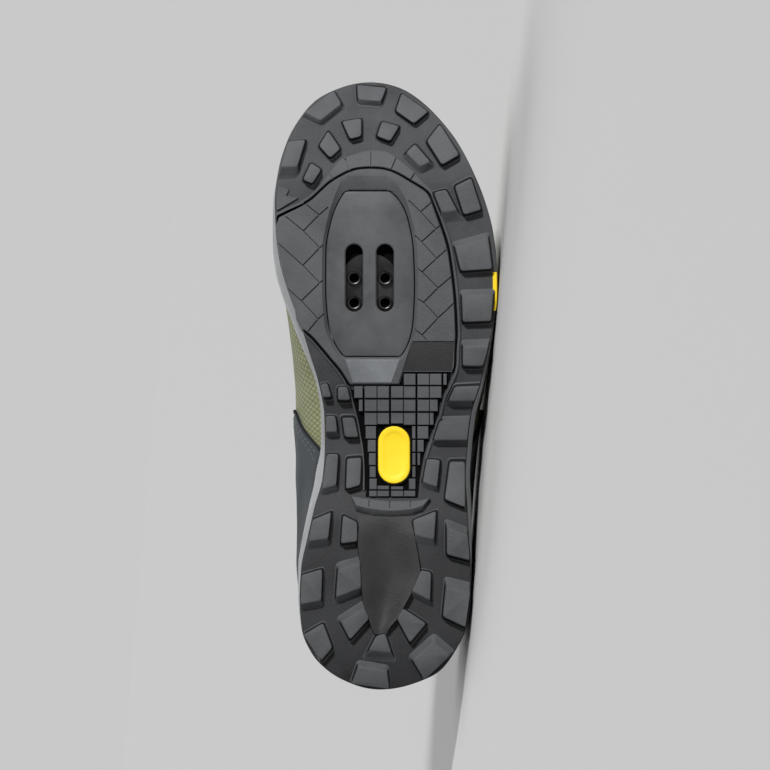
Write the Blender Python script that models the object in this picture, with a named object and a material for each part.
"""A left clip-in mountain-bike shoe lying on its outer side, in metres with +Z up.

Every piece is modelled upright in the shoe's own frame: X runs from heel to toe, Y to the outer side,
Z up, and the lug tips of heel and ball stand on Z = 0. The last step turns all the pieces together onto
the side on which the shoe lies still. Tables hold shares, chosen by hand, of the named sizes below.
"""

import math

import bmesh
import bpy
import numpy as np
from mathutils import Matrix, Vector

# Main sizes of the shoe
LENGTH = 0.276
BALL_WIDTH = 0.102
COLLAR_HEIGHT = 0.084
HEEL_STACK = 0.027
BALL_STACK = 0.018
TOE_SPRING = 0.020
ARCH_RISE = 0.006
HEEL_ROCKER = 0.004

# Tread
LUG_HEIGHT = 0.0045
LUG_DRAFT = 0.0009
TREAD_BASE = 0.0022
PANEL_STEP = 0.0018
GROOVE_WIDTH = 0.0022

# Cleat hardware
PLATE_FACE_DEPTH = 0.0052
PLATE_THICKNESS = 0.0034
PLATE_BEVEL = 0.0006
SLOT_WIDTH = 0.0079
SLOT_LENGTH = 0.0306
SLOT_SPACING = 0.0140
SLOT_ALONG = 0.6755
SLOT_ACROSS = -0.0665
RECESS_SLOPE = 0.0015
RECESS_RAMP = 0.0050
NUT_WIDTH = 0.0270
NUT_LENGTH = 0.0340
NUT_THICKNESS = 0.0016
BOSS_RADIUS = 0.0032
BOSS_HEIGHT = 0.0024
BOSS_PITCH = 0.0112
THREAD_RADIUS = 0.0022
NUT_HEEL_PLAY = 0.0006
NUT_TRAVEL = 0.0115

# Trim on the sole
INLAY_WIDTH = 0.0144
INLAY_LENGTH = 0.0260
INLAY_THICKNESS = 0.0011
INLAY_ALONG = 0.3852
INLAY_ACROSS = 0.042
TAG_START = 0.622
TAG_END = 0.685
TAG_THICKNESS = 0.0008
TAG_SINK = 0.0004
TAG_LOW = 0.42
TAG_HIGH = 0.80
TAG_STEPS = 5

# Upper and what is sewn to it
FEATHER_INSET = 0.0030
UPPER_WALL = 0.0020
OVERLAY_WALL = 0.0011
INSOLE_THICKNESS = 0.0032
TONGUE_THICKNESS = 0.0045
TONGUE_REACH = 0.0270
EYELET_RADIUS = 0.0038
EYELET_BORE = 0.0022
EYELET_THICKNESS = 0.0008
EYELET_ROWS = 6
LACE_WIDTH = 0.0056
LACE_THICKNESS = 0.0018
GAP = 0.0003
FACET_ROOM = 0.0006
CUT_SPARE = 0.0010
TRIM_SPARE = 0.0060
RIM_OVERRUN = 0.0040

SIDE_STEPS = 34
RIBS_BETWEEN = 3
WALL_STEPS = 8


def smooth(xs, ys, where):
    """Read a smooth curve through the points (xs, ys) that never overshoots them."""
    xs = np.asarray(xs, float)
    ys = np.asarray(ys, float)
    where = np.clip(np.asarray(where, float), xs[0], xs[-1])
    step = np.diff(xs)
    slope = np.diff(ys) / step
    tangent = np.empty(len(xs))
    tangent[0] = slope[0]
    tangent[-1] = slope[-1]
    product = slope[:-1] * slope[1:]
    total = np.where(slope[:-1] + slope[1:] == 0, 1, slope[:-1] + slope[1:])
    tangent[1:-1] = np.where(product > 0, 2 * product / total, 0)
    place = np.clip(np.searchsorted(xs, where, side="right") - 1, 0, len(step) - 1)
    t = (where - xs[place]) / step[place]
    return (
        ys[place] * (2 * t**3 - 3 * t**2 + 1)
        + step[place] * tangent[place] * (t**3 - 2 * t**2 + t)
        + ys[place + 1] * (3 * t**2 - 2 * t**3)
        + step[place] * tangent[place + 1] * (t**3 - t**2)
    )


def turn_share(along):
    """Spread shares of the length so that the rounded toe and heel get even steps."""
    return np.arccos(np.clip(1 - 2 * np.asarray(along, float), -1, 1)) / math.pi


def along_share(turn):
    """Undo turn_share."""
    return (1 - np.cos(np.asarray(turn, float) * math.pi)) / 2


class Table:
    """Rows of shares under named columns, read as smooth curves along the first column."""

    def __init__(self, columns, rows, spread=np.asarray):
        self.spread = spread
        self.values = dict(zip(columns, np.array(rows, float).T))
        self.keys = spread(self.values[columns[0]])

    def at(self, column, where):
        return smooth(self.keys, self.values[column], self.spread(where))


# Edge of the outsole from the middle line, and how far the sidewall above stands out from it
OUTLINE = Table(
    ("along", "inner", "outer", "inner_flare", "outer_flare"),
    (
        (0.00, -0.020, -0.020, 0.000, 0.000),
        (0.01, -0.148, 0.130, 0.000, 0.000),
        (0.03, -0.246, 0.242, 0.002, 0.002),
        (0.06, -0.323, 0.307, 0.004, 0.004),
        (0.10, -0.367, 0.360, 0.006, 0.004),
        (0.15, -0.377, 0.383, 0.009, 0.004),
        (0.20, -0.370, 0.383, 0.017, 0.008),
        (0.25, -0.342, 0.375, 0.026, 0.015),
        (0.30, -0.311, 0.368, 0.029, 0.021),
        (0.35, -0.275, 0.361, 0.036, 0.022),
        (0.40, -0.266, 0.370, 0.020, 0.022),
        (0.45, -0.268, 0.385, 0.018, 0.024),
        (0.50, -0.291, 0.426, 0.014, 0.017),
        (0.55, -0.331, 0.458, 0.024, 0.012),
        (0.60, -0.374, 0.484, 0.036, 0.006),
        (0.65, -0.425, 0.498, 0.036, 0.004),
        (0.70, -0.464, 0.497, 0.029, 0.003),
        (0.75, -0.482, 0.482, 0.018, 0.003),
        (0.80, -0.487, 0.447, 0.010, 0.003),
        (0.85, -0.472, 0.393, 0.004, 0.003),
        (0.90, -0.433, 0.322, 0.003, 0.003),
        (0.94, -0.374, 0.239, 0.002, 0.002),
        (0.97, -0.303, 0.156, 0.002, 0.002),
        (0.99, -0.201, 0.070, 0.001, 0.001),
        (1.00, -0.064, -0.064, 0.000, 0.000),
    ),
    turn_share,
)

# Side view of the sole: toe spring, raised waist, rounded heel and the thicker heel, each as a share
SOLE = Table(
    ("along", "spring", "arch", "rocker", "heel"),
    (
        (0.00, 0.00, 0.00, 1.00, 1.00),
        (0.04, 0.00, 0.00, 0.25, 1.00),
        (0.09, 0.00, 0.00, 0.00, 1.00),
        (0.27, 0.00, 0.00, 0.00, 0.94),
        (0.34, 0.00, 0.70, 0.00, 0.80),
        (0.41, 0.00, 1.00, 0.00, 0.56),
        (0.50, 0.00, 0.35, 0.00, 0.26),
        (0.56, 0.00, 0.00, 0.00, 0.10),
        (0.66, 0.00, 0.00, 0.00, 0.00),
        (0.83, 0.00, 0.00, 0.00, 0.00),
        (0.89, 0.17, 0.00, 0.00, 0.00),
        (0.95, 0.52, 0.00, 0.00, 0.00),
        (1.00, 1.00, 0.00, 0.00, 0.00),
    ),
)

# Raised middle panel of the tread
PANEL = Table(
    ("along", "inner", "outer"),
    (
        (0.330, -0.082, 0.152),
        (0.360, -0.083, 0.160),
        (0.402, -0.091, 0.188),
        (0.439, -0.108, 0.225),
        (0.475, -0.135, 0.254),
        (0.505, -0.166, 0.287),
        (0.542, -0.241, 0.313),
        (0.580, -0.330, 0.319),
        (0.600, -0.560, 0.319),
        (0.700, -0.600, 0.293),
        (0.750, -0.600, 0.248),
        (0.770, -0.480, 0.226),
        (0.793, -0.374, 0.215),
        (0.818, -0.285, 0.180),
        (0.843, -0.197, 0.077),
        (0.855, -0.108, -0.016),
    ),
)

# Edge of the recessed cleat plate
PLATE = Table(
    ("along", "inner", "outer"),
    (
        (0.547, -0.180, 0.070),
        (0.565, -0.215, 0.100),
        (0.600, -0.248, 0.124),
        (0.660, -0.260, 0.132),
        (0.720, -0.259, 0.127),
        (0.770, -0.236, 0.104),
        (0.800, -0.205, 0.070),
        (0.818, -0.175, 0.024),
    ),
)

# Lugs on the rim: side, then heel and toe ends on the edge, then heel and toe corners towards the middle
RIM_LUGS = (
    (1, 0.949, 0.980, 0.930, 0.130, 0.951, 0.051),
    (1, 0.877, 0.928, 0.861, 0.254, 0.900, 0.188),
    (1, 0.787, 0.838, 0.779, 0.352, 0.825, 0.312),
    (1, 0.690, 0.741, 0.687, 0.338, 0.726, 0.312),
    (1, 0.605, 0.648, 0.603, 0.347, 0.646, 0.343),
    (1, 0.531, 0.566, 0.531, 0.347, 0.564, 0.347),
    (1, 0.474, 0.498, 0.474, 0.285, 0.497, 0.312),
    (1, 0.410, 0.443, 0.410, 0.219, 0.441, 0.246),
    (1, 0.300, 0.374, 0.313, 0.268, 0.374, 0.290),
    (1, 0.213, 0.254, 0.223, 0.276, 0.267, 0.276),
    (1, 0.103, 0.161, 0.121, 0.259, 0.170, 0.272),
    (1, 0.016, 0.057, 0.049, 0.126, 0.080, 0.219),
    (-1, 0.049, 0.092, 0.070, -0.232, 0.110, -0.272),
    (-1, 0.141, 0.188, 0.148, -0.281, 0.198, -0.276),
    (-1, 0.244, 0.279, 0.249, -0.250, 0.292, -0.237),
    (-1, 0.330, 0.387, 0.336, -0.215, 0.387, -0.206),
    (-1, 0.423, 0.449, 0.423, -0.210, 0.449, -0.219),
    (-1, 0.480, 0.502, 0.480, -0.237, 0.503, -0.254),
    (-1, 0.785, 0.829, 0.808, -0.369, 0.820, -0.410),
    (-1, 0.861, 0.921, 0.857, -0.387, 0.902, -0.338),
    (-1, 0.949, 0.985, 0.934, -0.285, 0.962, -0.192),
)

# Lugs inside the rim: middle, size and turn towards the outer side, in degrees
INNER_LUGS = (
    (0.990, -0.062, 0.040, 0.117, 0),
    (0.846, -0.322, 0.028, 0.049, 29),
    (0.892, -0.245, 0.032, 0.062, -34),
    (0.920, -0.137, 0.029, 0.066, -5),
    (0.916, 0.011, 0.026, 0.066, 18),
    (0.875, 0.147, 0.034, 0.053, -42),
    (0.800, 0.262, 0.034, 0.057, -25),
    (0.486, -0.183, 0.021, 0.046, -6),
    (0.430, -0.154, 0.031, 0.055, -10),
    (0.356, -0.137, 0.044, 0.062, 0),
    (0.357, 0.214, 0.041, 0.060, 8),
    (0.305, 0.024, 0.018, 0.345, 0),
    (0.262, -0.155, 0.039, 0.066, 4),
    (0.268, 0.172, 0.036, 0.090, 5),
    (0.182, -0.158, 0.042, 0.100, 0),
    (0.175, 0.172, 0.039, 0.062, 12),
    (0.112, -0.126, 0.045, 0.068, 49),
    (0.110, 0.108, 0.043, 0.078, -43),
    (0.078, -0.019, 0.028, 0.072, 0),
    (0.014, -0.055, 0.050, 0.146, 0),
)

# Ribs of the upper from the middle of the heel to the middle of the toe
RIB_COLUMNS = (
    "foot", "top", "half", "height", "belly_inner", "belly_outer", "rise", "lean", "drop",
)
RIBS = (
    (0.000, 0.045, 0.000, 1.000, 0.020, 0.020, 0.300, 0.035, 0.300),
    (0.016, 0.050, 0.090, 0.993, 0.022, 0.022, 0.300, 0.040, 0.300),
    (0.060, 0.072, 0.180, 0.955, 0.030, 0.025, 0.300, 0.055, 0.300),
    (0.170, 0.145, 0.285, 0.850, 0.040, 0.012, 0.300, 0.070, 0.280),
    (0.280, 0.240, 0.320, 0.780, 0.085, 0.020, 0.280, 0.070, 0.240),
    (0.370, 0.330, 0.300, 0.850, 0.150, 0.055, 0.260, 0.120, 0.260),
    (0.440, 0.405, 0.235, 1.060, 0.205, 0.085, 0.260, 0.200, 0.280),
    (0.510, 0.480, 0.185, 1.020, 0.200, 0.090, 0.260, 0.240, 0.220),
    (0.590, 0.560, 0.160, 0.900, 0.130, 0.055, 0.260, 0.240, 0.150),
    (0.690, 0.635, 0.135, 0.805, 0.035, 0.030, 0.260, 0.250, 0.090),
    (0.810, 0.685, 0.095, 0.755, 0.025, 0.025, 0.260, 0.290, 0.050),
    (0.930, 0.706, 0.050, 0.735, 0.020, 0.020, 0.250, 0.360, 0.025),
    (0.985, 0.711, 0.024, 0.730, 0.015, 0.015, 0.240, 0.400, 0.020),
    (1.000, 0.712, 0.000, 0.728, 0.015, 0.015, 0.235, 0.410, 0.020),
)

COLOURS = {
    "rubber": ((0.060, 0.060, 0.062), 0.72, 0.0),
    "sidewall": ((0.300, 0.305, 0.310), 0.60, 0.0),
    "nylon": ((0.045, 0.046, 0.048), 0.55, 0.0),
    "steel": ((0.520, 0.520, 0.510), 0.35, 1.0),
    "yellow": ((0.900, 0.640, 0.020), 0.45, 0.0),
    "olive": ((0.255, 0.270, 0.125), 0.85, 0.0),
    "slate": ((0.080, 0.092, 0.100), 0.80, 0.0),
    "dark_knit": ((0.035, 0.037, 0.040), 0.90, 0.0),
    "eyelet_metal": ((0.060, 0.062, 0.065), 0.40, 1.0),
    "lace_cord": ((0.050, 0.052, 0.055), 0.85, 0.0),
}


def sole_bottom(along):
    """Height of the lug tips above the ground."""
    return (
        TOE_SPRING * SOLE.at("spring", along)
        + ARCH_RISE * SOLE.at("arch", along)
        + HEEL_ROCKER * SOLE.at("rocker", along)
    )


def sole_top(along):
    """Height of the midsole's upper face."""
    return (
        TOE_SPRING * SOLE.at("spring", along)
        + BALL_STACK
        + (HEEL_STACK - BALL_STACK) * SOLE.at("heel", along)
    )


def edge_points(turns, flare=0.0):
    """Points of the sole's edge; turns run 0 to 1 along the outer side and on to 2 back along the inner side."""
    turns = np.asarray(turns, float) % 2
    outer = turns <= 1
    along = along_share(np.where(outer, turns, 2 - turns))
    reach = OUTLINE.at("outer", along) + flare * OUTLINE.at("outer_flare", along)
    back = OUTLINE.at("inner", along) - flare * OUTLINE.at("inner_flare", along)
    return np.stack((along * LENGTH, np.where(outer, reach, back) * BALL_WIDTH), axis=-1)


def outline(flare=0.0, inset=0.0, steps=SIDE_STEPS):
    """Closed outline of the sole, pulled in by inset."""
    turns = np.arange(2 * steps) / steps
    return offset(edge_points(turns, flare), -inset)


def offset(points, distance):
    """Move a closed counter-clockwise or clockwise outline outwards by distance."""
    points = np.asarray(points, float)
    before = np.roll(points, 1, axis=0)
    after = np.roll(points, -1, axis=0)
    area = np.sum(points[:, 0] * after[:, 1] - after[:, 0] * points[:, 1])
    sign = 1 if area > 0 else -1

    def normals(start, end):
        run = end - start
        run /= np.linalg.norm(run, axis=1)[:, None]
        return np.stack((run[:, 1], -run[:, 0]), axis=1) * sign

    first = normals(before, points)
    second = normals(points, after)
    middle = first + second
    middle /= np.linalg.norm(middle, axis=1)[:, None]
    reach = np.maximum(np.sum(middle * first, axis=1), 0.35)
    return points + middle * (distance / reach)[:, None]


def band(table, steps=26, inset=0.0):
    """Closed plan outline of a table that gives an inner and an outer edge."""
    along = np.linspace(table.keys[0], table.keys[-1], steps)
    outer = [(a * LENGTH, float(table.at("outer", a)) * BALL_WIDTH) for a in along]
    inner = [(a * LENGTH, float(table.at("inner", a)) * BALL_WIDTH) for a in along[::-1]]
    return offset(np.array(inner + outer), -inset)


def capsule(x, y, length, width, steps=6):
    """Plan outline with round ends, lying along X."""
    radius = width / 2
    reach = length / 2 - radius
    angles = np.linspace(-math.pi / 2, math.pi / 2, steps + 1)
    toe = [(x + reach + radius * math.cos(a), y + radius * math.sin(a)) for a in angles]
    heel = [(x - reach - radius * math.cos(a), y - radius * math.sin(a)) for a in angles]
    return np.array(toe + heel)


def circle(x, y, radius, steps=12):
    """Plan outline of a round hole or boss."""
    angles = np.arange(steps) * 2 * math.pi / steps
    return np.stack((x + radius * np.cos(angles), y + radius * np.sin(angles)), axis=1)


def mesh_object(name, points, faces, material=None):
    """Closed mesh with its faces turned outwards."""
    mesh = bpy.data.meshes.new(name)
    mesh.from_pydata([tuple(map(float, p)) for p in points], [], faces)
    work = bmesh.new()
    work.from_mesh(mesh)
    bmesh.ops.remove_doubles(work, verts=work.verts, dist=1e-6)
    bmesh.ops.recalc_face_normals(work, faces=work.faces)
    work.to_mesh(mesh)
    work.free()
    item = bpy.data.objects.new(name, mesh)
    bpy.context.collection.objects.link(item)
    if material:
        mesh.materials.append(MATERIALS[material])
    return item


def stack(name, levels, material=None):
    """Solid through plan outlines of equal length, each at its own height."""
    count = len(levels[0][0])
    points = [(x, y, height) for plan, height in levels for x, y in plan]
    faces = [tuple(range(count)), tuple(range((len(levels) - 1) * count, len(levels) * count))]
    for level in range(len(levels) - 1):
        for i in range(count):
            j = (i + 1) % count
            low = level * count
            faces.append((low + i, low + j, low + count + j, low + count + i))
    return mesh_object(name, points, faces, material)


def join(name, items, material=None):
    """Make one object of several that don't touch each other."""
    mesh = bpy.data.meshes.new(name)
    work = bmesh.new()
    for item in items:
        work.from_mesh(item.data)
        bpy.data.objects.remove(item)
    work.to_mesh(mesh)
    work.free()
    joined = bpy.data.objects.new(name, mesh)
    bpy.context.collection.objects.link(joined)
    if material:
        mesh.materials.append(MATERIALS[material])
    return joined


def combine(item, tool, operation):
    """Apply a Boolean with another object and drop that object."""
    step = item.modifiers.new(operation.title(), "BOOLEAN")
    step.operation = operation
    step.solver = "EXACT"
    step.object = tool
    bpy.context.view_layer.update()
    result = bpy.data.meshes.new_from_object(item.evaluated_get(bpy.context.evaluated_depsgraph_get()))
    item.modifiers.clear()
    item.data = result
    bpy.data.objects.remove(tool)
    return item


def bend(item, follow, stations=()):
    """Lift a flat-built piece by a height that depends on X, cutting it first where it has to bend."""
    work = bmesh.new()
    work.from_mesh(item.data)
    for along in stations:
        everything = list(work.verts) + list(work.edges) + list(work.faces)
        bmesh.ops.bisect_plane(
            work, geom=everything, dist=1e-7, plane_co=(along * LENGTH, 0, 0), plane_no=(1, 0, 0)
        )
    bmesh.ops.triangulate(work, faces=work.faces)
    for vert in work.verts:
        vert.co.z += float(follow(vert.co.x / LENGTH))
    bmesh.ops.recalc_face_normals(work, faces=work.faces)
    work.to_mesh(item.data)
    work.free()
    return item


# Places along the sole where it curves
HEEL_BENDS = (0.02, 0.05, 0.09)
WAIST_BENDS = (0.27, 0.305, 0.34, 0.375, 0.41, 0.45, 0.49, 0.53, 0.56)
TOE_BENDS = (0.83, 0.86, 0.885, 0.91, 0.935, 0.96, 0.98)
INLAY_BENDS = (0.34, 0.355, 0.37, 0.385, 0.40, 0.415, 0.43)
BENDS = HEEL_BENDS + WAIST_BENDS + TOE_BENDS


def rim_lug(row):
    """Plan outline of a lug whose outer side runs past the sole's edge."""
    side, heel_out, toe_out, heel_in, heel_across, toe_in, toe_across = row
    column = "outer" if side > 0 else "inner"
    rim = []
    for along in np.linspace(heel_out, toe_out, 4):
        across = float(OUTLINE.at(column, along)) * BALL_WIDTH
        rim.append((along * LENGTH, across + side * RIM_OVERRUN))
    toe_corner = (toe_in * LENGTH, toe_across * BALL_WIDTH)
    heel_corner = (heel_in * LENGTH, heel_across * BALL_WIDTH)
    return np.array(rim + [toe_corner, heel_corner])


def inner_lug(row):
    """Plan outline of a lug given by its middle, size and turn."""
    along, across, long, wide, turn = row
    angle = math.radians(turn)
    ahead = np.array((math.cos(angle), math.sin(angle))) * long * LENGTH / 2
    aside = np.array((-math.sin(angle), math.cos(angle))) * wide * BALL_WIDTH / 2
    middle = np.array((along * LENGTH, across * BALL_WIDTH))
    signs = ((-1, -1), (1, -1), (1, 1), (-1, 1))
    return np.array([middle + a * ahead + b * aside for a, b in signs])


def lug_block(plan):
    """Lug that widens from its tip to its foot."""
    foot = LUG_HEIGHT + TREAD_BASE / 2
    return stack("lug", ((plan, 0.0), (offset(plan, LUG_DRAFT), foot)))


def recess_plan(spread):
    """Outline of the cleat recess; it opens further towards the toe."""
    plan = band(PLATE, inset=-GAP)
    middle = plan.mean(axis=0)
    wide = offset(plan, RECESS_SLOPE * spread)
    toe = np.clip((plan[:, 0] - middle[0]) / (plan[:, 0].max() - middle[0]), 0, 1) ** 6
    wide[:, 0] += toe * RECESS_RAMP * spread
    return wide


def make_outsole():
    """Rubber tread: base, rim lugs, inner lugs and the middle panel, with the cleat window and inlay pocket."""
    top = LUG_HEIGHT + TREAD_BASE
    wide = outline(inset=-TRIM_SPARE)
    base = stack("outsole", ((wide, LUG_HEIGHT), (wide, top)), "rubber")
    blocks = [lug_block(rim_lug(row)) for row in RIM_LUGS]
    blocks += [lug_block(inner_lug(row)) for row in INNER_LUGS]
    combine(base, join("lugs", blocks), "UNION")
    panel_face = LUG_HEIGHT - PANEL_STEP
    face_plan = band(PANEL, inset=GROOVE_WIDTH / 2)
    foot_plan = band(PANEL, inset=GROOVE_WIDTH / 2 - LUG_DRAFT / 2)
    panel = stack("panel", ((face_plan, panel_face), (foot_plan, LUG_HEIGHT + TREAD_BASE / 2)))
    combine(base, panel, "UNION")
    edge = outline()
    combine(base, stack("trim", ((edge, -TRIM_SPARE), (edge, top + TRIM_SPARE))), "INTERSECT")
    levels = ((2.0, -CUT_SPARE), (1.0, panel_face), (0.0, LUG_HEIGHT), (0.0, top + CUT_SPARE))
    window = stack("window", [(recess_plan(spread), height) for spread, height in levels])
    combine(base, window, "DIFFERENCE")
    pocket = inlay_plan(GAP)
    floor = panel_face + INLAY_THICKNESS + GAP
    combine(base, stack("pocket", ((pocket, -CUT_SPARE), (pocket, floor))), "DIFFERENCE")
    return bend(base, sole_bottom, BENDS)


def inlay_plan(margin):
    """Plan outline of the inlay, wider by a margin all round."""
    x = INLAY_ALONG * LENGTH
    y = INLAY_ACROSS * BALL_WIDTH
    return capsule(x, y, INLAY_LENGTH + 2 * margin, INLAY_WIDTH + 2 * margin)


def make_inlay():
    """Plain yellow inlay, flush with the middle panel."""
    plan = inlay_plan(0.0)
    face = LUG_HEIGHT - PANEL_STEP
    item = stack("sole_inlay", ((plan, face), (plan, face + INLAY_THICKNESS)), "yellow")
    return bend(item, sole_bottom, INLAY_BENDS)


def side_height(along, share):
    """Height of the sidewall at a share of the way from the outsole up to the upper."""
    low = float(sole_bottom(along)) + LUG_HEIGHT + TREAD_BASE + GAP
    return low + (float(sole_top(along)) - low) * share


def side_reach(share):
    """How much of the sidewall's flare is reached at a share of its height."""
    return math.sin(min(share / FLARE_SHARE, 1.0) * math.pi / 2)


# Sidewall from the outsole up: share of its height, then how far it is pulled in there
FLARE_SHARE = 0.55
GROOVE_DEPTH = 0.0009
TOP_ROUNDING = 0.0012
SIDE_LEVELS = (
    (0.00, 0.0),
    (0.24, 0.0),
    (0.27, GROOVE_DEPTH),
    (0.33, GROOVE_DEPTH),
    (0.36, 0.0),
    (0.90, TOP_ROUNDING / 6),
    (1.00, TOP_ROUNDING),
)


def side_ring(share, inset):
    """Closed outline round the sidewall as points in space."""
    plan = outline(side_reach(share), inset)
    return np.array([(x, y, side_height(min(max(x / LENGTH, 0), 1), share)) for x, y in plan])


def make_midsole():
    """Firm sidewall layer with the pockets for the cleat plate, the sliding nut plate and the side tag."""
    rings = [side_ring(share, inset) for share, inset in SIDE_LEVELS]
    count = len(rings[0])
    points = np.concatenate(rings)
    faces = []
    for level in range(len(rings) - 1):
        for i in range(count):
            j = (i + 1) % count
            low = level * count
            faces.append((low + i, low + j, low + count + j, low + count + i))
    for start in (0, (len(rings) - 1) * count):
        for i in range(SIDE_STEPS):
            left = (start + i, start + i + 1)
            right = (start + (count - i) % count, start + count - i - 1)
            faces.append(tuple(dict.fromkeys((left[0], left[1], right[1], right[0]))))
    item = mesh_object("midsole", points, faces, "sidewall")
    top = PLATE_FACE_DEPTH + PLATE_THICKNESS + GAP
    pocket = band(PLATE, inset=-GAP)
    combine(item, stack("pocket", ((pocket, 0.0), (pocket, top))), "DIFFERENCE")
    x, y = nut_middle()
    travel = NUT_HEEL_PLAY + NUT_TRAVEL + 2 * GAP
    room = box_plan(x + (travel / 2 - NUT_HEEL_PLAY - GAP), y, NUT_LENGTH + travel, NUT_WIDTH + 2 * GAP)
    roof = top + NUT_THICKNESS + 2 * GAP
    combine(item, stack("travel", ((room, top - CUT_SPARE), (room, roof))), "DIFFERENCE")
    combine(item, tag_solid("cut", TAG_SINK + TAG_THICKNESS + GAP, GAP, RIM_OVERRUN), "DIFFERENCE")
    return item


def tag_solid(name, depth, margin, proud, material=None):
    """Small patch of the outer sidewall, from a depth below its face to a height above it."""
    points = []
    steps = TAG_STEPS
    spare = margin / (BALL_STACK - LUG_HEIGHT)
    for along in np.linspace(TAG_START - margin / LENGTH, TAG_END + margin / LENGTH, steps):
        turn = float(turn_share(along))
        for share in (TAG_LOW - spare, TAG_HIGH + spare):
            x, y = edge_points(turn, side_reach(share))
            z = side_height(along, share)
            points.append((x, y - depth, z))
            points.append((x, y + proud, z))
    faces = [(0, 1, 3, 2), tuple(4 * (steps - 1) + k for k in (0, 2, 3, 1))]
    for step in range(steps - 1):
        low = 4 * step
        high = low + 4
        for a, b in ((0, 1), (1, 3), (3, 2), (2, 0)):
            faces.append((low + a, low + b, high + b, high + a))
    return mesh_object(name, points, faces, material)


def box_plan(x, y, length, width):
    """Rectangular plan outline."""
    return np.array(((x - length / 2, y - width / 2), (x + length / 2, y - width / 2),
                     (x + length / 2, y + width / 2), (x - length / 2, y + width / 2)))


def slot_middle():
    """Middle point between the two cleat slots."""
    return SLOT_ALONG * LENGTH, SLOT_ACROSS * BALL_WIDTH


def nut_middle():
    """Middle of the nut plate, its heel pair of bosses almost at the heel end of the slots."""
    x, y = slot_middle()
    return x - SLOT_LENGTH / 2 + BOSS_RADIUS + BOSS_PITCH / 2 + NUT_HEEL_PLAY + GAP, y


def make_cleat_plate():
    """Nylon plate with two long slots, sunk between the tread and the midsole."""
    face = PLATE_FACE_DEPTH
    back = face + PLATE_THICKNESS
    plan = band(PLATE)
    levels = ((offset(plan, -PLATE_BEVEL), face), (plan, face + PLATE_BEVEL), (plan, back))
    item = stack("cleat_plate", levels, "nylon")
    x, y = slot_middle()
    slots = []
    for side in (-1, 1):
        slot = capsule(x, y + side * SLOT_SPACING / 2, SLOT_LENGTH, SLOT_WIDTH)
        slots.append(stack("slot", ((slot, face - CUT_SPARE), (slot, back + CUT_SPARE))))
    return combine(item, join("slots", slots), "DIFFERENCE")


def make_nut_plate():
    """Steel plate behind the slots with four threaded bosses standing in them."""
    x, y = nut_middle()
    back = PLATE_FACE_DEPTH + PLATE_THICKNESS + GAP
    plan = capsule(x, y, NUT_LENGTH, NUT_WIDTH)
    item = stack("cleat_nut_plate", ((plan, back), (plan, back + NUT_THICKNESS)), "steel")
    bosses = []
    bores = []
    for along in (-1, 1):
        for side in (-1, 1):
            bx = x + along * BOSS_PITCH / 2
            by = y + side * SLOT_SPACING / 2
            boss = circle(bx, by, BOSS_RADIUS)
            bosses.append(stack("boss", ((boss, back - BOSS_HEIGHT), (boss, back + NUT_THICKNESS / 2))))
            bore = circle(bx, by, THREAD_RADIUS)
            mouth = back - BOSS_HEIGHT - CUT_SPARE
            bores.append(stack("bore", ((bore, mouth), (bore, back + NUT_THICKNESS + CUT_SPARE))))
    combine(item, join("bosses", bosses), "UNION")
    return combine(item, join("bores", bores), "DIFFERENCE")


def loop_curve(values, place):
    """Read a closed smooth curve through the values, one whole step apart."""
    values = np.asarray(values, float)
    place = np.asarray(place, float)
    count = len(values)
    index = np.floor(place).astype(int)
    t = place - index
    if values.ndim > 1:
        t = t[..., None]
    a, b, c, d = (values[(index + step) % count] for step in (-1, 0, 1, 2))
    return b + 0.5 * t * (c - a + t * (2 * a - 5 * b + 4 * c - d + t * (3 * (b - c) + d - a)))


# Small step on either side of a place, for the direction of a curve there
PROBE = 0.02
RIB_KEYS = list(range(len(RIBS))) + list(range(len(RIBS) - 2, 0, -1))
RIB_SIDES = [1] * len(RIBS) + [-1] * (len(RIBS) - 2)
LOOP = len(RIB_KEYS)
TOE_RIB = len(RIBS) - 1


def rib_values(column):
    """Values of one column for every rib, round the whole shoe."""
    return np.array([RIBS[key][RIB_COLUMNS.index(column)] for key in RIB_KEYS], float)


def feather(place):
    """Point where a rib leaves the sole, and the direction outwards there."""
    foot = turn_share(rib_values("foot"))
    sides = np.array(RIB_SIDES)
    turns = np.where(sides > 0, foot, 2 - foot)
    drift = turns - 2 * np.arange(LOOP) / LOOP
    turn = loop_curve(drift, place) + 2 * np.asarray(place) / LOOP
    here = edge_points(turn, 1.0)
    run = edge_points(turn + PROBE, 1.0) - edge_points(turn - PROBE, 1.0)
    out = np.stack((-run[..., 1], run[..., 0]), axis=-1)
    out /= np.linalg.norm(out, axis=-1, keepdims=True)
    here = here - out * FEATHER_INSET
    height = sole_top(np.clip(here[..., 0] / LENGTH, 0, 1)) + GAP
    height = height[..., None]
    return np.concatenate((here, height), axis=-1), np.concatenate((out, 0 * height), axis=-1)


def top_line(place):
    """Point of the collar and throat edge."""
    sides = np.array(RIB_SIDES)
    values = np.stack((rib_values("top") * LENGTH, sides * rib_values("half") * BALL_WIDTH,
                       rib_values("height") * COLLAR_HEIGHT), axis=1)
    return loop_curve(values, place)


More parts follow.
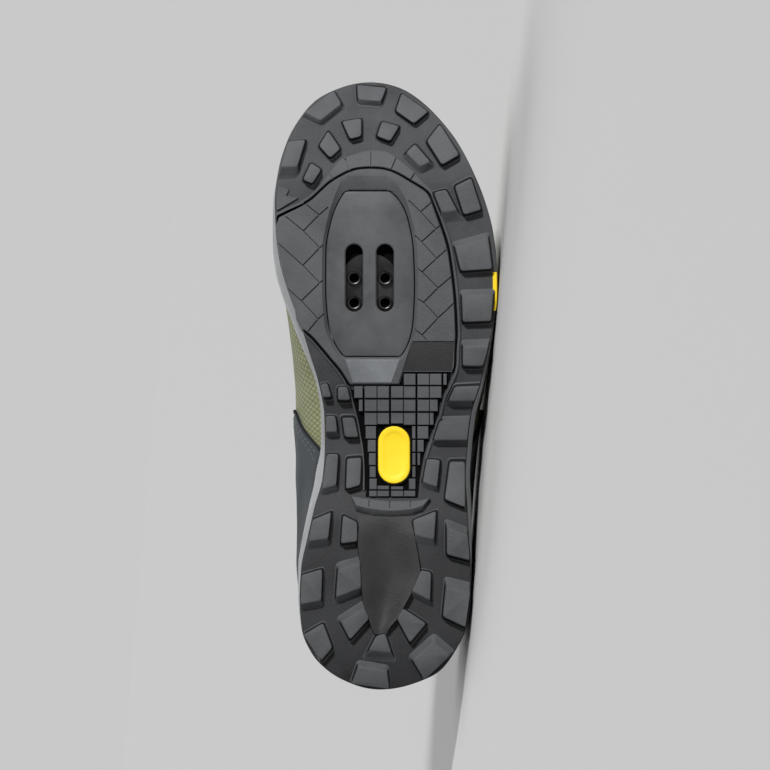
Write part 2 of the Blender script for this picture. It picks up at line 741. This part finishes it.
def surface(place, rise):
    """Outer face of the upper: place counts ribs round the shoe, rise runs from the sole to the top line."""
    place, rise = np.broadcast_arrays(np.asarray(place, float), np.asarray(rise, float))
    foot, foot_out = feather(place)
    top = top_line(place)
    run = top_line(place + PROBE) - top_line(place - PROBE)
    top_out = np.stack((-run[..., 1], run[..., 0], 0 * run[..., 0]), axis=-1)
    top_out /= np.linalg.norm(top_out, axis=-1, keepdims=True)
    belly = np.where(np.array(RIB_SIDES) > 0, rib_values("belly_outer"), rib_values("belly_inner"))
    up = np.array((0.0, 0.0, 1.0))

    def scaled(values, size):
        return (loop_curve(values, place) * size)[..., None]

    second = foot + foot_out * scaled(belly, BALL_WIDTH) + up * scaled(rib_values("rise"), COLLAR_HEIGHT)
    third = top + top_out * scaled(rib_values("lean"), BALL_WIDTH) - up * scaled(rib_values("drop"), COLLAR_HEIGHT)
    t = rise[..., None]
    return (1 - t) ** 3 * foot + 3 * (1 - t) ** 2 * t * second + 3 * (1 - t) * t**2 * third + t**3 * top


def skin(place, rise, out):
    """Upper's outer face moved outwards along its own normal."""
    place, rise = np.broadcast_arrays(np.asarray(place, float), np.asarray(rise, float))
    around = surface(place + PROBE, rise) - surface(place - PROBE, rise)
    upward = surface(place, rise + PROBE / 2) - surface(place, rise - PROBE / 2)
    normal = np.cross(upward, around)
    normal /= np.linalg.norm(normal, axis=-1, keepdims=True)
    return surface(place, rise) + normal * out


def grid_solid(name, front, back, material, closed=False):
    """Solid between two grids of points of equal shape; closed grids join up round their first direction."""
    rows, columns = front.shape[:2]
    points = np.concatenate((front.reshape(-1, 3), back.reshape(-1, 3)))
    far = rows * columns
    faces = []
    ring = rows if closed else rows - 1
    for i in range(ring):
        a = i * columns
        b = (i + 1) % rows * columns
        for j in range(columns - 1):
            faces.append((a + j, b + j, b + j + 1, a + j + 1))
            faces.append((far + a + j, far + a + j + 1, far + b + j + 1, far + b + j))
        for j in (0, columns - 1):
            faces.append((a + j, b + j, far + b + j, far + a + j))
    if not closed:
        for i in (0, rows - 1):
            a = i * columns
            for j in range(columns - 1):
                faces.append((a + j, a + j + 1, far + a + j + 1, far + a + j))
    return mesh_object(name, points, faces, material)


def make_upper():
    """Hollow shell from the sole to the collar and throat."""
    place = (np.arange(LOOP * RIBS_BETWEEN) / RIBS_BETWEEN)[:, None]
    rise = np.linspace(0, 1, WALL_STEPS + 1)[None, :]
    outside = surface(place, rise)
    inside = skin(place, rise, -UPPER_WALL)
    inside[:, 0, 2] = outside[:, 0, 2]
    item = grid_solid("upper", outside, inside, "olive", closed=True)
    return combine(item, eyelet_holes("upper_holes"), "DIFFERENCE")


QUARTER = Table(
    ("rise", "reach"),
    ((0.03, 5.25), (0.20, 5.75), (0.40, 6.35), (0.58, 6.30), (0.72, 5.70), (0.83, 4.75)),
)


QUARTER_ROWS = 9
QUARTER_COLUMNS = 37


def make_heel_quarter():
    """Overlay round the heel; its front edge leans forward as it rises."""
    rise = np.linspace(QUARTER.keys[0], QUARTER.keys[-1], QUARTER_ROWS)
    reach = QUARTER.at("reach", rise)
    share = np.linspace(-1, 1, QUARTER_COLUMNS)[:, None]
    place = share * reach[None, :]
    low = skin(place, rise[None, :], GAP + FACET_ROOM)
    high = skin(place, rise[None, :], GAP + FACET_ROOM + OVERLAY_WALL)
    return grid_solid("heel_quarter", high, low, "slate")


THROAT_START = 6.0
THROAT_END = 9.15
FIRST_EYELET = 6.28
EYELET_RISE = 0.925
EYELET_STEPS = 10
HOLE_STEPS = 8
EYESTAY_LOW = 0.875
EYESTAY_DIP = 0.055
EYESTAY_HIGH = 0.985
EYESTAY_STEPS = 31


def make_eyestay():
    """Overlay round the throat, pierced for the eyelets."""
    place = np.linspace(THROAT_START, LOOP - THROAT_START, EYESTAY_STEPS)
    from_toe = np.abs(place - TOE_RIB) / (TOE_RIB - THROAT_START)
    lower = EYESTAY_LOW - EYESTAY_DIP * np.clip(from_toe * 3, 0, 1)
    share = np.linspace(0, 1, 4)[None, :]
    rise = lower[:, None] * (1 - share) + EYESTAY_HIGH * share
    low = skin(place[:, None], rise, GAP + FACET_ROOM)
    high = skin(place[:, None], rise, GAP + FACET_ROOM + OVERLAY_WALL)
    item = grid_solid("eyestay", high, low, "slate")
    return combine(item, eyelet_holes("eyestay_holes"), "DIFFERENCE")


def eyelet_spots():
    """Rib position of every eyelet, outer and inner side in turn, from the top down."""
    for place in np.linspace(FIRST_EYELET, FIRST_EYELET + THROAT_END - THROAT_START, EYELET_ROWS):
        yield place
        yield LOOP - place


def eyelet_frame(place, out):
    """Turn and place of an eyelet on the upper."""
    spot = skin(place, EYELET_RISE, out)
    normal = Vector(skin(place, EYELET_RISE, out + 0.001) - spot).normalized()
    return Matrix.Translation(Vector(spot)) @ normal.to_track_quat("Z", "Y").to_matrix().to_4x4()


def eyelet_holes(name):
    """Cutters for the eyelet holes."""
    cutters = []
    for place in eyelet_spots():
        plan = circle(0, 0, EYELET_BORE + GAP, HOLE_STEPS)
        cutter = stack("hole", ((plan, -2.5 * UPPER_WALL), (plan, 2.5 * UPPER_WALL)))
        cutter.data.transform(eyelet_frame(place, 0.0))
        cutters.append(cutter)
    return join(name, cutters)


def make_eyelets():
    """Metal rings on the eyestay."""
    items = []
    for number, place in enumerate(eyelet_spots()):
        side = "outer" if number % 2 == 0 else "inner"
        outer = circle(0, 0, EYELET_RADIUS, EYELET_STEPS)
        bore = circle(0, 0, EYELET_BORE, EYELET_STEPS)
        points = []
        faces = []
        for k in range(EYELET_STEPS):
            points += [(*outer[k], 0), (*outer[k], EYELET_THICKNESS)]
            points += [(*bore[k], EYELET_THICKNESS), (*bore[k], 0)]
            low = 4 * k
            high = 4 * ((k + 1) % EYELET_STEPS)
            for a in range(4):
                b = (a + 1) % 4
                faces.append((low + a, high + a, high + b, low + b))
        item = mesh_object(f"eyelet_{side}_{number // 2 + 1}", points, faces, "eyelet_metal")
        item.data.transform(eyelet_frame(place, 2 * GAP + FACET_ROOM + OVERLAY_WALL))
        items.append(item)
    return items


TONGUE = Table(
    ("place", "reach", "crown"),
    (
        (6.30, 0.92, 0.22),
        (6.90, 0.86, 0.22),
        (7.60, 0.83, 0.22),
        (8.40, 0.82, 0.20),
        (9.10, 0.83, 0.14),
        (9.80, 0.84, -0.08),
        (10.40, 0.86, -0.52),
    ),
)
TONGUE_FRONT = ((10.8, 0.86), (11.4, 0.87), (12.2, 0.88), (13.0, 0.88))
TONGUE_TOP = ((0.30, 0.88, 0.15), (0.70, 0.83, 0.40), (1.00, 0.70, 0.50))
TONGUE_CENTRE = 0.030
LACE_CROWN = 0.18
LACE_RISES = (EYELET_RISE - 0.02, EYELET_RISE + 0.02, 0.97, 1.0)


def tongue_grid():
    """Upper face of the tongue: rows across the throat from its top down under the vamp."""
    sink = -UPPER_WALL - GAP - FACET_ROOM
    rows = []
    for place in TONGUE.keys:
        edges = np.linspace(float(TONGUE.at("reach", place)), 1, 3)
        outer = [skin(place, rise, sink) for rise in edges]
        inner = [skin(LOOP - place, rise, sink) for rise in edges]
        crown = np.linalg.norm(outer[-1] - inner[-1]) / 2 * float(TONGUE.at("crown", place))
        middle = (outer[-1] + inner[-1]) / 2 + np.array((0, 0, crown))
        between = [(outer[-1] + middle) / 2, (inner[-1] + middle) / 2]
        for point in between:
            point[2] += crown * 0.25
        rows.append(outer + [between[0], middle, between[1]] + inner[::-1])
    front = [skin(place, rise, sink) for place, rise in TONGUE_FRONT]
    front += [skin(LOOP - place, rise, sink) for place, rise in TONGUE_FRONT[-2::-1]]
    front.insert(3, (front[2] + front[3]) / 2)
    front.insert(5, (front[4] + front[5]) / 2)
    rows.append(front)
    top = np.array(rows[0])
    ahead = (top - np.array(rows[1])).mean(axis=0)
    ahead /= np.linalg.norm(ahead)
    middle = top.mean(axis=0)
    for share, narrow, lift in TONGUE_TOP:
        row = middle + (top - middle) * np.array((1, narrow, 1)) + ahead * TONGUE_REACH * share
        row[:, 2] += TONGUE_REACH * share * lift
        rows.insert(0, list(row))
    return np.array(rows)


def make_tongue():
    """Padded tongue under the throat, standing above the collar."""
    high = tongue_grid()
    centre = high.mean(axis=1, keepdims=True) - np.array((0, 0, TONGUE_CENTRE))
    inwards = centre - high
    inwards /= np.linalg.norm(inwards, axis=-1, keepdims=True)
    low = high + inwards * TONGUE_THICKNESS
    return grid_solid("tongue", high, low, "dark_knit")


def make_insole():
    """Removable insole on the midsole."""
    inset = FEATHER_INSET + UPPER_WALL + 3 * GAP
    plan = outline(1.0, inset)
    item = stack("insole", ((plan, GAP), (plan, GAP + INSOLE_THICKNESS)), "dark_knit")
    return bend(item, sole_top, BENDS)


def make_lace_bars():
    """Straight lace bars from eyelet to eyelet over the tongue."""
    above = 3 * GAP + FACET_ROOM + OVERLAY_WALL + EYELET_THICKNESS
    above += GAP
    items = []
    places = list(eyelet_spots())[::2]
    for number, place in enumerate(places):
        outer = [skin(place, rise, above) for rise in LACE_RISES]
        inner = [skin(LOOP - place, rise, above) for rise in LACE_RISES]
        crown = np.linalg.norm(outer[-1] - inner[-1]) / 2 * LACE_CROWN
        middle = (outer[-1] + inner[-1]) / 2 + np.array((0, 0, crown))
        path = np.array(outer + [middle] + inner[::-1])
        ahead = top_line(place - PROBE) - top_line(place + PROBE)
        ahead += top_line(LOOP - place + PROBE) - top_line(LOOP - place - PROBE)
        ahead /= np.linalg.norm(ahead)
        run = np.gradient(path, axis=0)
        normal = np.cross(run, ahead)
        normal /= np.linalg.norm(normal, axis=-1, keepdims=True)
        if normal[4, 2] < 0:
            normal = -normal
        low = np.stack((path - ahead * LACE_WIDTH / 2, path, path + ahead * LACE_WIDTH / 2), axis=1)
        high = low + normal[:, None, :] * LACE_THICKNESS
        items.append(grid_solid(f"lace_bar_{number + 1}", high, low, "lace_cord"))
    return items


def make_side_tag():
    """Small tag set into the outer sidewall."""
    return tag_solid("side_tag", TAG_SINK + TAG_THICKNESS, 0.0, -TAG_SINK, "yellow")


def resting_turn(items):
    """Turn and shift that lay the upright shoe on its outer side, on the face under its centre of mass."""
    work = bmesh.new()
    moment = Vector()
    volume = 0.0
    for item in items:
        solid = bmesh.new()
        solid.from_mesh(item.data)
        bmesh.ops.triangulate(solid, faces=solid.faces)
        for face in solid.faces:
            a, b, c = (vert.co for vert in face.verts)
            part = a.dot(b.cross(c)) / 6
            volume += part
            moment += part * (a + b + c) / 4
        solid.free()
        work.from_mesh(item.data)
    middle = moment / volume
    hull = bmesh.ops.convex_hull(work, input=work.verts)
    best = None
    for face in hull["geom"]:
        if not isinstance(face, bmesh.types.BMFace):
            continue
        normal = face.normal
        if (face.calc_center_median() - middle).dot(normal) < 0:
            normal = -normal
        if normal.y < 0.6:
            continue
        distance = (face.verts[0].co - middle).dot(normal)
        foot = middle + normal * distance
        corners = [loop.vert.co for loop in face.loops]
        turns = []
        for k, corner in enumerate(corners):
            side = corners[(k + 1) % len(corners)] - corner
            turns.append(side.cross(foot - corner).dot(face.normal))
        if min(turns) > 0 and (best is None or distance < best[0]):
            best = (distance, normal.copy())
    points = [vert.co.copy() for vert in work.verts]
    work.free()
    up = -best[1]
    ahead = (Vector((1, 0, 0)) - up * up.x).normalized()
    aside = up.cross(ahead)
    turn = Matrix((ahead, aside, up))
    placed = np.array([turn @ point for point in points])
    low = placed.min(axis=0)
    high = placed.max(axis=0)
    shift = Vector((-(low[0] + high[0]) / 2, -(low[1] + high[1]) / 2, -low[2]))
    return Matrix.Translation(shift) @ turn.to_4x4()


def make_materials():
    """One plain material for each kind of surface."""
    made = {}
    for name, (colour, roughness, metallic) in COLOURS.items():
        material = bpy.data.materials.new(name)
        material.use_nodes = True
        shader = material.node_tree.nodes["Principled BSDF"]
        shader.inputs["Base Color"].default_value = (*colour, 1)
        shader.inputs["Roughness"].default_value = roughness
        shader.inputs["Metallic"].default_value = metallic
        material.diffuse_color = (*colour, 1)
        made[name] = material
    return made


def build():
    """Model every piece upright, then lay them all down together."""
    items = [make_outsole(), make_inlay(), make_midsole(), make_side_tag(), make_cleat_plate(), make_nut_plate()]
    items += [make_upper(), make_heel_quarter(), make_eyestay(), make_tongue(), make_insole()]
    items += make_eyelets()
    items += make_lace_bars()
    lay = resting_turn(items)
    for item in items:
        for polygon in item.data.polygons:
            polygon.use_smooth = item.name.startswith(("upper", "heel_quarter", "eyestay", "tongue", "lace"))
        if item.name == "cleat_nut_plate":
            x, y = nut_middle()
            pivot = Vector((x, y, PLATE_FACE_DEPTH + PLATE_THICKNESS + GAP))
            item.data.transform(Matrix.Translation(-pivot))
            item.matrix_world = lay @ Matrix.Translation(pivot)
        else:
            item.data.transform(lay)
    return lay


for old in list(bpy.data.objects):
    bpy.data.objects.remove(old)
MATERIALS = make_materials()
LAY = build()
